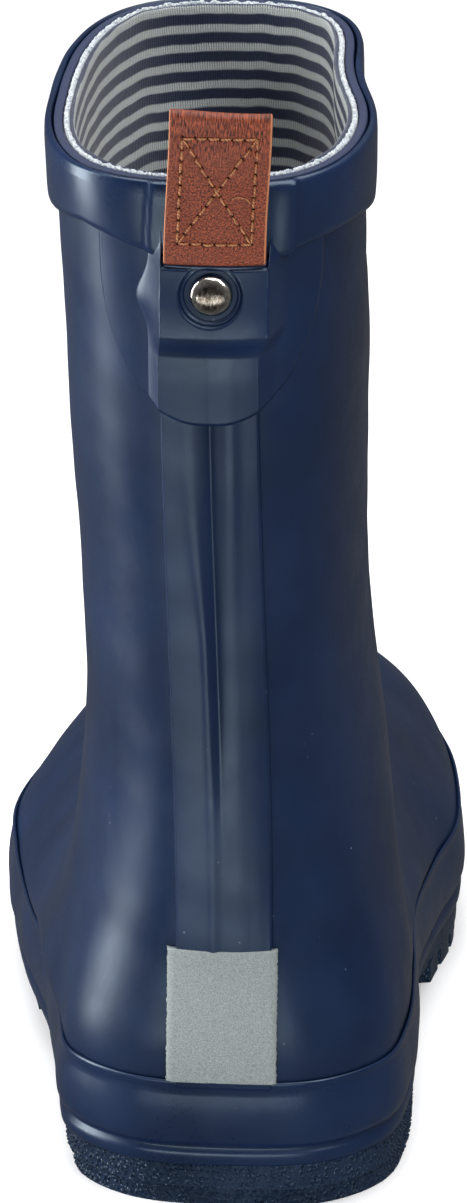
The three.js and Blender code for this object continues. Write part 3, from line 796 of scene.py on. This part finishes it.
def shield_relief(x, z):
    """The shield over the shell: a hollow flank each side of the plate, and the plate's low end."""
    left, right = strap_sides(z)
    left_width = 2.2 + 0.4 * smooth(z, 170, 178) + 2.4 * np.exp(-(((z - 183.0) / 4.6) ** 2))
    right_width = 2.9 + 0.5 * smooth(z, 172, 180)
    gone = np.maximum((left - x) / left_width, (x - right) / right_width)
    flank = np.clip(1 - gone, 0, 1) ** 1.35
    shoulder = 1 - 0.6 * smooth(z, 190.5, 194.5)
    crown = 1.35 + strap_height(z)
    seam = 0.25 * (strip_relief(x, z) - 1.35) * (1 - smooth(z, 171, 176))
    dish = 1.2 * smooth(np.hypot(x - RIVET_X, z - RIVET_Z), 6.2, 5.5)
    trough = dish + 4.6 * smooth(z, MOUTH - 1.2, MOUTH)
    return np.where(gone > 0, crown * flank * shoulder, crown + seam - 0.15 - trough)


def overlay(name, z, left, right, columns, height, sink=-0.5):
    """A closed sheet on the back. left and right give its edges at each z, and height its top."""
    f = np.linspace(0, 1, columns)[None, :]
    x = left(z)[:, None] * (1 - f) + right(z)[:, None] * f
    zz = np.broadcast_to(z[:, None], x.shape)
    outer = off_back(x, zz, height(x, zz))
    inner = off_back(x, zz, np.full(x.shape, sink))
    return slab(name, outer, inner, np.stack([x, zz], -1))


def build_back_strip():
    z = np.linspace(25.0, 196.5, 260)

    def height(x, z):
        inset = STRIP_HALF - np.abs(x - seam_x(z))
        return -0.25 + (strip_relief(x, z) + 0.25) * smooth(inset, -0.1, 0.35)

    piece = overlay("seam_cover_strip", z, lambda z: seam_x(z) - STRIP_HALF - 0.1,
                    lambda z: seam_x(z) + STRIP_HALF + 0.1, 84, height)
    return finish_piece(piece, "boot", "navy_rubber", "back_strip", material=navy)


def shield_half_curve(f):
    """The shield's rounded outline: 1 at f = 0, and 0 at f = 1."""
    return (1 - np.clip(f, 0, 0.9995) ** 2.2) ** (1 / 2.2)


def shield_half(z):
    return SHIELD_HALF * shield_half_curve((SHIELD_SHOULDER - z) / (SHIELD_SHOULDER - SHIELD_LOW))


def build_shield():
    z = SHIELD_LOW + (196.5 - SHIELD_LOW) * np.linspace(0.01, 1, 170) ** 1.6

    def height(x, z):
        a = np.abs(x - seam_x(z))
        arc = SHIELD_SHOULDER - (SHIELD_SHOULDER - SHIELD_LOW) * shield_half_curve(a / SHIELD_HALF)
        inset = np.minimum(shield_half(z) - a, (z - arc) * 0.35)
        return -0.3 + shield_relief(x, z) + (0.3 + 0.85) * smooth(inset, -0.05, 0.35)

    piece = overlay("heel_shield_sheet", z, lambda z: seam_x(z) - shield_half(z),
                    lambda z: seam_x(z) + shield_half(z), 240, height)
    return finish_piece(piece, "boot", "navy_rubber", "heel_shield", material=navy)


def build_pocket():
    """The strap over the shield, open at the top, with the rivet's dish pressed into it."""
    foot = POCKET_LOW + 1.8
    z = np.linspace(foot, MOUTH, 130)
    wide = 0.25

    def height(x, z):
        left, right = strap_sides(z)
        inset = np.minimum(x - left, right - x)
        a = (x - strap_x(z)) / POCKET_HALF
        lip = 0.18 * smooth(z, MOUTH - 1.8, MOUTH - 0.7) - 0.4 * smooth(z, MOUTH - 0.5, MOUTH)
        face = 1.35 + strap_height(z) + lip - 0.3 * a**4
        r = np.hypot(x - RIVET_X, z - RIVET_Z)
        ring = 0.24 * smooth(z, RIVET_Z + 4, RIVET_Z + 1)
        dish = -0.85 * smooth(r, 5.3, 4.6) + ring * np.exp(-(((r - 5.5) / 0.22) ** 2))
        sunk = 1.4 * (1 - smooth(inset, -wide, 0.6)) + 0.5 * (1 - smooth(z, foot, foot + 1.6))
        return face + dish - sunk

    piece = overlay("pocket_strap", z, lambda z: strap_sides(z)[0] - wide,
                    lambda z: strap_sides(z)[1] + wide, 150, height)
    return finish_piece(piece, "boot", "navy_rubber", "tab_pocket", material=navy_gloss)


def build_patch():
    """Reflective patch with slightly frayed edges."""
    low, high, half, rows = 26.4, 52.3, 10.5, 110
    z = np.linspace(low, high, rows)
    fray = np.random.default_rng(2).normal(0, 0.08, (2, rows))

    def height(x, z):
        a = np.abs(x - seam_x(z) + 0.35)
        inset = np.minimum(half - a, np.minimum(z - low, high - z))
        on_strip = 0.3 * (np.minimum(a, STRIP_HALF) / STRIP_HALF) ** 2
        step_down = 0.3 * smooth(a, STRIP_HALF, half)
        return 1.5 + on_strip - step_down - 0.3 * smooth(inset, 0.3, 0)

    piece = overlay("reflective_patch_film", z, lambda z: seam_x(z) - 0.35 - half + fray[0],
                    lambda z: seam_x(z) - 0.35 + half + fray[1], 80, height, sink=0.6)
    return finish_piece(piece, "boot", "reflector", "reflective_patch", material=film)


build_back_strip()
build_shield()
build_pocket()
build_patch()

# ------------------------------------------------------------------ leather tab

TAB_HALF = 9.45
LEAF = 1.25
OUTER_LEAF, INNER_LEAF = 5.35, 3.9  # middle of each leaf, off the shell
TAB_TOP = 221.3
STITCH_HALF, STITCH_LOW, STITCH_HIGH = 6.9, 195.4, 216.4
STITCH_PITCH = 2.3
BEND_LOW, BEND_HIGH = 187.0, 195.0  # the ends of the bend at the pocket's mouth, below and above


def bend_at_mouth(piece):
    """Bakes a piece's transform into its mesh. The ends of the bend at the pocket's mouth are worked out
    but not used.
    """
    start, end = (tuple(off_back(strap_x(z), z, OUTER_LEAF) * MM) for z in (BEND_LOW, BEND_HIGH))
    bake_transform(piece)
    return piece


def stitch_runs():
    """The box-X: each run is a list of hole places (across, z)."""
    corners = [np.array(c) for c in ((-STITCH_HALF, STITCH_LOW), (STITCH_HALF, STITCH_LOW),
                                     (STITCH_HALF, STITCH_HIGH), (-STITCH_HALF, STITCH_HIGH))]
    runs = []
    for a, b in ((0, 1), (1, 2), (2, 3), (3, 0), (0, 2), (1, 3)):
        start, end = corners[a], corners[b]
        count = max(2, round(np.linalg.norm(end - start) / STITCH_PITCH))
        runs.append([start + (end - start) * k / count for k in range(count + 1)])
    return runs


def tab_bow(z):
    """The free leather stands a little proud of the collar as it rises."""
    return 0.6 * smooth(z, 196, 222)


def build_tab():
    """One strap folded over at the top: up the outer leaf, over, and down into the pocket."""
    fold = (OUTER_LEAF - INNER_LEAF) / 2
    top = TAB_TOP - fold - LEAF / 2
    path = [(z, OUTER_LEAF, 0, 1) for z in np.linspace(189.6, top, 165)]
    for angle in np.linspace(0, math.pi, 15)[1:-1]:
        path.append((top + fold * math.sin(angle), INNER_LEAF + fold + fold * math.cos(angle),
                     math.sin(angle), math.cos(angle)))
    path += [(z, INNER_LEAF, 0, -1) for z in np.linspace(top, 176.4, 60)]

    across = np.linspace(-1, 1, 92)
    face = np.stack([across * (TAB_HALF - 0.25), np.full(92, LEAF / 2)], -1)
    side = np.array([(TAB_HALF - 0.06, LEAF / 2 - 0.1), (TAB_HALF, LEAF / 4), (TAB_HALF, -LEAF / 4),
                     (TAB_HALF - 0.06, -LEAF / 2 + 0.1)])
    under = np.stack([np.linspace(1, -1, 24) * (TAB_HALF - 0.25), np.full(24, -LEAF / 2)], -1)
    section = np.concatenate([face, side, under, -side])

    holes = np.array([hole for run in stitch_runs() for hole in run])
    rings, edge, hole_shade_marks, uv = [], [], [], []
    along = 0.0
    for k, (z, distance, up, out) in enumerate(path):
        along += math.hypot(z - path[k - 1][0], distance - path[k - 1][1]) if k else 0
        dz, dd = section[:, 1] * up, section[:, 1] * out
        x = strap_x(z + dz) + section[:, 0]
        dz = dz - 0.055 * section[:, 0] * smooth(z, 200, 222)
        lift = distance + dd + tab_bow(z) - 1.9 * smooth(z, MOUTH + 0.4, MOUTH - 1.2)
        on_face = (section[:, 1] > LEAF / 2 - 0.01) & (out > 0.99)
        reach = np.hypot(section[:, 0][:, None] - holes[:, 0], z - holes[:, 1]).min(1)
        hole, dimple = 0.5 * np.exp(-((reach / 0.27) ** 2)), 0.1 * np.exp(-((reach / 0.9) ** 2))
        dent = np.where(on_face, hole + dimple, 0)
        rings.append(off_back(x, z + dz, lift - dent * (out > 0)))
        near_edge = np.abs(section[:, 0]) > TAB_HALF - 0.2
        edge.append(np.where(near_edge, 1.0, 0.0))
        # mask of the painted shade in the stitch holes
        hole_shade_marks.append(np.where(on_face, np.exp(-((reach / 0.3) ** 4)), 0))
        row = np.stack([section[:, 0], np.full(len(section), along)], -1)
        uv.append(np.concatenate([row, row[:1]]))
    piece = loft("leather_strap", np.stack(rings)[:, ::-1], uv=np.stack(uv)[:, ::-1])
    pad = [0.0, 0.0]
    set_attribute(piece, "edge", np.concatenate([np.stack(edge)[:, ::-1].ravel(), pad]))
    # the hole attribute carries the painted shade in the stitch holes
    set_attribute(piece, "hole", np.concatenate([np.stack(hole_shade_marks)[:, ::-1].ravel(), pad]))
    finish_piece(piece, None, "leather", "pull_tab", "tab_anchor", material=leather)
    return bend_at_mouth(piece)


def tube(points, radii, sides=8):
    """Rings round a short path of points, as an array of rings by sides by 3."""
    points = np.asarray(points)
    along = np.gradient(points, axis=0)
    along /= np.linalg.norm(along, axis=1, keepdims=True)
    outwards = np.array([0.0, -1.0, 0.0])
    side = np.cross(along, outwards)
    side /= np.linalg.norm(side, axis=1, keepdims=True)
    up = np.cross(side, along)
    angles = full_turn(sides)
    ring = np.cos(angles)[None, :, None] * side[:, None] + np.sin(angles)[None, :, None] * up[:, None]
    return points[:, None] + ring * np.asarray(radii)[:, None, None]


def join_tubes(name, tubes):
    """One object from many tubes, each closed at its ends."""
    points, faces = [], []
    for rings in tubes:
        rows, sides = rings.shape[:2]
        base = len(points)
        points.extend(rings.reshape(-1, 3))
        for i in range(rows - 1):
            for j in range(sides):
                k = (j + 1) % sides
                faces.append((base + i * sides + j, base + i * sides + k,
                              base + (i + 1) * sides + k, base + (i + 1) * sides + j))
        faces.append([base + j for j in range(sides)][::-1])
        faces.append([base + (rows - 1) * sides + j for j in range(sides)])
    return add_object(name, points, faces)


def build_stitches():
    rng = np.random.default_rng(12)
    tubes = []
    face = OUTER_LEAF + LEAF / 2
    for run in stitch_runs():
        for a, b in zip(run, run[1:]):
            f = np.linspace(0.1, 0.9, 9)[:, None]
            place = a + (b - a) * f + rng.normal(0, 0.06, 2)
            hump = np.sin(np.pi * np.linspace(0.0, 1.0, 9))
            height = face + tab_bow(place[:, 1]) - 0.34 + 0.5 * hump**0.55
            points = off_back(strap_x(place[:, 1]) + place[:, 0], place[:, 1], height)
            tubes.append(tube(points, 0.16 + 0.06 * hump + rng.uniform(-0.02, 0.02)))
    tail_x = np.array([2.9, 3.6, 4.4, 5.2, 5.8, 6.3])
    tail_z = np.array([204.6, 204.9, 204.9, 204.7, 204.3, 203.6])
    points = off_back(strap_x(tail_z) + tail_x, tail_z, face + tab_bow(tail_z) + 0.12)
    tubes.append(tube(points, np.full(6, 0.13)))
    piece = join_tubes("stitching_thread", tubes)
    finish_piece(piece, None, "thread", "tab_stitching", material=thread)
    return bend_at_mouth(piece)


build_tab()
build_stitches()

# ------------------------------------------------------------------ rivet

def build_rivet():
    """The domed cap in its dish, with the post behind it."""
    t, u = back_place(RIVET_X, RIVET_Z)
    centre, normal = off(t, u, 0.0), outward(t, u)
    side = np.cross(normal, [0, 0, 1])
    side /= np.linalg.norm(side)
    up = np.cross(side, normal)
    seat = POCKET_TOP - 1.75
    profile = [(0.01, -3.0), (1.5, -3.0), (1.5, seat), (3.2, seat), (3.95, seat + 0.1), (4.05, seat + 0.35),
               (4.05, seat + 0.6), (3.95, seat + 0.95), (3.75, seat + 1.25), (3.4, seat + 1.55),
               (2.9, seat + 1.8), (2.2, seat + 2.0), (1.2, seat + 2.14), (0.01, seat + 2.18)]
    angles = full_turn(64)
    rings = []
    for r, h in profile:
        circle = np.cos(angles)[:, None] * side + np.sin(angles)[:, None] * up
        rings.append(centre + circle * r + normal * h)
    piece = loft("rivet_dome", np.stack(rings))
    # painted dark reflection over the dome's middle, inside about 3 mm
    across = np.repeat([r for r, _ in profile], len(angles))
    set_attribute(piece, "painted_dark_reflection", np.append(1 - smooth(across, 2.5, 3.3), [0.0, 1.0]))
    return finish_piece(piece, "boot", "rivet", "rivet_cap", material=nickel)


build_rivet()

# ------------------------------------------------------------------ sole

def outline_ring(inset, z, count=420):
    """The sole's edge moved inwards, at a height. inset and z may vary round it."""
    closed, length = walk(OUTLINE)
    at = np.linspace(0, length[-1], count, endpoint=False)
    x, y = np.interp(at, length, closed[:, 0]), np.interp(at, length, closed[:, 1])
    dx, dy = np.roll(x, -1) - np.roll(x, 1), np.roll(y, -1) - np.roll(y, 1)
    size = np.hypot(dx, dy)
    inset = np.broadcast_to(inset, count)
    return np.stack([x - dy / size * inset, y + dx / size * inset, np.broadcast_to(z, count)], -1)


def build_foxing():
    """The band round the sole: a bead at the top, a bulge, a groove and a lower lip."""
    profile = [(8.0, 23.5), (8.0, 24.3), (2.0, 24.4), (1.6, 25.1), (1.45, 25.9), (1.2, 26.2),
               (0.95, 26.1), (0.8, 25.8), (0.8, 25.4), (0.95, 24.9), (1.0, 24.3), (0.8, 23.2),
               (0.45, 21.6), (0.18, 19.8), (0.04, 18.0),
               (0.0, 16.4), (0.12, 15.0), (0.5, 13.9), (1.1, 13.2), (1.5, 12.8), (1.45, 12.3), (1.0, 11.8),
               (0.75, 11.2), (0.7, 10.4), (0.8, 9.6), (1.2, 9.0), (2.0, 8.7), (8.0, 8.7)]
    rings = np.stack([outline_ring(inset, z) for inset, z in profile])
    uneven = hand_made(rings * 1.7)
    rings[2:-1, :, :2] *= (1 + 0.0012 * uneven[2:-1, :, None])
    rings[2:9, :, 2] += 0.25 * slow_wave(rings[4])
    rings[10:19, :, :2] *= (1 + 0.004 * quick_wave(rings[13] * 0.7))[None, :, None]
    piece = loft("foxing_band", rings[:, ::-1], joined=True)
    return finish_piece(piece, "boot", "navy_rubber", "foxing_strip", material=navy_gloss)


def tread_block(mesh, corners, low, high):
    """Adds a prism with plan corners (x, y), from low to high, to a bmesh."""
    bottom = [mesh.verts.new((x, y, low)) for x, y in corners]
    top = [mesh.verts.new((x, y, high)) for x, y in corners]
    count = len(corners)
    mesh.faces.new(bottom[::-1])
    mesh.faces.new(top)
    for j in range(count):
        k = (j + 1) % count
        mesh.faces.new((bottom[j], bottom[k], top[k], top[j]))


def clip_polygon(polygon, normal, limit):
    """The part of a plan polygon where normal . point is at most limit."""
    kept = []
    for a, b in zip(polygon, np.roll(polygon, -1, 0)):
        da, db = a @ normal - limit, b @ normal - limit
        if da <= 0:
            kept.append(a)
        if (da < 0) != (db < 0):
            kept.append(a + (b - a) * da / (da - db))
    return np.array(kept)


def sole_inset(y, x, lateral, medial):
    """How far a part of the sole stands in from the edge, by y, on each side."""
    return np.where(x < 0, np.interp(y, *lateral), np.interp(y, *medial))


def inset_outline(lateral, medial, count):
    """The sole's outline in plan, moved in. Each side is given as places in y and their insets."""
    plain = outline_ring(0, 0, count)
    inset = sole_inset(plain[:, 1], plain[:, 0], lateral, medial)
    return outline_ring(inset, 0, count)[:, :2]


HEEL_BLOCK_END = 38
PIMPLE_PITCH = 1.4


def add_pimples(mesh, outline, low, high):
    """Small domes in staggered rows on the sides of the heel."""
    rng = np.random.default_rng(31)
    closed, length = walk(outline)
    for row, z in enumerate(np.arange(low, high, 1.2)):
        at = np.arange(PIMPLE_PITCH / 2 * (row % 2), length[-1], PIMPLE_PITCH)
        at = at + rng.normal(0, 0.16, len(at))
        x, y = np.interp(at, length, closed[:, 0]), np.interp(at, length, closed[:, 1])
        on_heel = y < HEEL_BLOCK_END
        for place in zip(x[on_heel], y[on_heel]):
            centre = Matrix.Translation((*place, z + rng.normal(0, 0.12)))
            radius = rng.uniform(0.28, 0.46)
            bmesh.ops.create_icosphere(mesh, subdivisions=1, radius=radius, matrix=centre)


def build_outsole():
    """Plate, heel block with grooves, and slanted forefoot lugs."""
    mesh = bmesh.new()
    plate_lateral = ((-20, 40, 50, 80, 200), (2.0, 3.0, 4.6, 2.0, 1.6))
    plate_medial = ((-20, 40, 60, 90, 200), (1.2, 2.0, 3.5, 1.6, 1.6))
    tread_lateral = ((-34, -10, 40, 60, 200), (3.0, 3.4, 3.4, 3.8, 2.6))
    tread_medial = ((-34, -10, 200), (2.6, 1.4, 2.4))
    plate = inset_outline(plate_lateral, plate_medial, 220)
    tread = inset_outline(tread_lateral, tread_medial, 260)
    waist = clip_polygon(clip_polygon(plate, np.array([0.0, 1.0]), 66), np.array([0.0, -1.0]), -38)
    tread_block(mesh, plate, 7.4, 9.3)
    tread_block(mesh, waist, 6.4, 7.5)
    forward = np.array([0.0, 1.0])
    tread_block(mesh, clip_polygon(plate, forward, 40), 4.0, 7.5)
    tread_block(mesh, clip_polygon(plate, -forward, -64), 4.0, 7.5)
    cuts = [-60, 8, 26, 40]
    for low, high in zip(cuts, cuts[1:]):
        part = clip_polygon(clip_polygon(tread, forward, high - 1.0), -forward, -low - 1.0)
        tread_block(mesh, part, 0.0, 4.2)
    across = np.array([-0.25, 1.0])
    for k in range(12):
        centre = 76 + 9 * k
        part = clip_polygon(clip_polygon(tread, across, centre + 3.2), -across, -centre + 3.2)
        if len(part) > 2:
            tread_block(mesh, part, 0.0, 4.2)
    add_pimples(mesh, tread, 0.9, 3.8)
    add_pimples(mesh, plate, 4.7, 8.8)
    data = bpy.data.meshes.new("tread")
    mesh.to_mesh(data)
    mesh.free()
    data.transform(Matrix.Scale(MM, 4))
    piece = bpy.data.objects.new("tread_sole", data)
    bpy.context.scene.collection.objects.link(piece)
    bevel = piece.modifiers.new("edges", "BEVEL")
    bevel.width = 0.0005
    bevel.segments = 2
    bevel.limit_method = "ANGLE"
    bevel.angle_limit = math.radians(50)
    return finish_piece(piece, "boot", "sole_rubber", "outsole", material=sole_navy)


build_foxing()
build_outsole()

# ------------------------------------------------------------------ inside pieces

def build_footbed(name, low, high, node, slot, material, round_edge):
    """A pad with the inside's outline at its height and rounded edges."""
    u = np.linspace(0, 2 * np.pi, 400, endpoint=False)
    t = np.linspace(5, TOE, 500)
    points = off(t[:, None], u[None, :], -KNIT_INNER - 0.5).reshape(-1, 3)
    band = points[np.abs(points[:, 2] - (low + high) / 2) < 0.8]
    centre = np.array([-4.0, 80.0])
    angle = np.arctan2(band[:, 1] - centre[1], (band[:, 0] - centre[0]) * 2.2)
    bins = np.linspace(-np.pi, np.pi, 121)
    edge = []
    for a, b in zip(bins, bins[1:]):
        here = band[(angle >= a) & (angle < b)]
        edge.append(here[:, :2].mean(0))
    edge = closed_spline(np.array(edge), 2)
    rings = []
    for inset, z in ((8, low), (round_edge, low), (0, low + round_edge), (0, high - round_edge),
                     (round_edge * 0.4, high - round_edge * 0.3), (round_edge, high), (8, high)):
        inwards = (centre - edge) / np.linalg.norm(centre - edge, axis=1, keepdims=True)
        rings.append(np.column_stack([edge + inwards * inset, np.full(len(edge), z)]))
    rings = np.stack(rings)[::-1]
    uv = np.concatenate([rings, rings[:, :1]], 1)[..., :2]
    piece = loft(name, rings, uv=uv)
    return finish_piece(piece, "boot", slot, node, material=material)


foam = plain_material("grey_foam", rgb(58, 62, 74), rgb(82, 88, 100), 0.9, 600)
pad = build_footbed("footbed_foam", 16.5, 20.0, "footbed", "foam", foam, 1.0)
build_footbed("footbed_cloth", 20.1, 21.2, "footbed_cover", "knit", knit, 0.4)


COUNTER_THICK = 0.9
COUNTER_LOW, COUNTER_HIGH = 6.1, 4.75  # sections, as the counter's lower and upper edge
COUNTER_REACH = 1.35  # radians round each side from the back


def build_counter():
    """The heel stiffener, cupped round the back of the foot behind the rubber."""
    down = np.linspace(COUNTER_LOW, COUNTER_HIGH, 40)
    around = np.linspace(-COUNTER_REACH, COUNTER_REACH, 90)
    t, u = np.meshgrid(down, around, indexing="ij")
    depth = SHELL_THICK + 0.02
    outer = off(t, u, np.full(t.shape, -depth))
    inner = off(t, u, np.full(t.shape, -depth - COUNTER_THICK))
    piece = slab("heel_stiffener", outer, inner, np.stack([u * 30, t * 30], -1))
    return finish_piece(piece, "boot", "stiffener", "heel_counter", material=stiff_board)


stiff_board = plain_material("stiff_board", rgb(44, 44, 50), rgb(66, 66, 72), 0.8, 500)
build_counter()

HIDDEN = {
    "sole_filler": plain_material("black_filler", rgb(26, 26, 28), rgb(48, 48, 50), 0.8, 300),
    "insole_board": plain_material("fibre_board", rgb(150, 116, 76), rgb(188, 154, 110), 0.9, 900),
    "toe_puff": stiff_board,
    "rivet_burr": nickel,
}
for node, material in HIDDEN.items():
    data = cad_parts[node].data
    data.materials.clear()
    data.materials.append(material)

# ------------------------------------------------------------------ stage

def build_floor():
    data = bpy.data.meshes.new("floor")
    size = 3.0
    corners = [(-size, -size, 0), (size, -size, 0), (size, size, 0), (-size, size, 0)]
    data.from_pydata(corners, [], [(0, 1, 2, 3)])
    floor = bpy.data.objects.new("floor", data)
    bpy.context.scene.collection.objects.link(floor)
    n = Nodes("pale_floor")
    n.shade(Base_Color=(0.93, 0.93, 0.94, 1.0), Roughness=0.6)
    data.materials.append(n.material)
    floor.visible_glossy = False  # the boot's sides stay dark, as with black cards beside it


def add_area_light(name, place, target, width, height, radiance):
    """A soft panel of a given brightness, turned towards its target, that cameras don't see."""
    data = bpy.data.lights.new(name, "AREA")
    data.shape = "RECTANGLE"
    data.size, data.size_y = width, height
    data.energy = radiance * math.pi * width * height
    light = bpy.data.objects.new(name, data)
    bpy.context.scene.collection.objects.link(light)
    light.location = place
    light.rotation_euler = (Vector(target) - Vector(place)).to_track_quat("-Z", "Y").to_euler()
    light.visible_camera = False


def build_lights():
    """A tall strip at the left, a low panel in front, a high one at the right and one overhead."""
    middle = (0, 0.03, 0.11)
    add_area_light("left_strip", (-0.40, 0.0, 0.24), (0, 0, 0.18), 0.16, 0.46, 14)
    add_area_light("front_panel", (-0.03, -0.27, 0.065), (0, 0, 0.13), 0.3, 0.06, 6.5)
    add_area_light("right_panel", (0.42, -0.30, 0.62), middle, 0.16, 0.36, 12)
    add_area_light("top_panel", (0.1, 0.15, 1.3), middle, 1.4, 1.4, 4.6)
    world = bpy.data.worlds.new("studio")
    world.use_nodes = True
    background = world.node_tree.nodes["Background"]
    background.inputs["Color"].default_value = (1.0, 1.0, 1.0, 1.0)
    background.inputs["Strength"].default_value = 0.14
    bpy.context.scene.world = world


def build_camera():
    """A long lens, behind the boot and a little above it."""
    yaw, pitch, distance = math.radians(4.0), math.radians(21.0), 2.2
    sensor = 36.0
    seen_height = 0.231346
    data = bpy.data.cameras.new("camera")
    data.sensor_width = sensor
    data.lens = distance / seen_height * sensor
    camera = bpy.data.objects.new("camera", data)
    bpy.context.scene.collection.objects.link(camera)
    back = Vector((math.sin(yaw) * math.cos(pitch), -math.cos(yaw) * math.cos(pitch), math.sin(pitch)))
    turn = (-back).to_track_quat("-Z", "Y")
    target = Vector((-0.002, 0.020, 0.105)) - turn @ Vector((0, 0.00077, 0))
    camera.location = target + back * distance
    camera.rotation_euler = turn.to_euler()
    data.clip_end = 20
    bpy.context.scene.camera = camera


build_floor()
build_lights()
build_camera()
bpy.context.scene.view_settings.view_transform = "Standard"
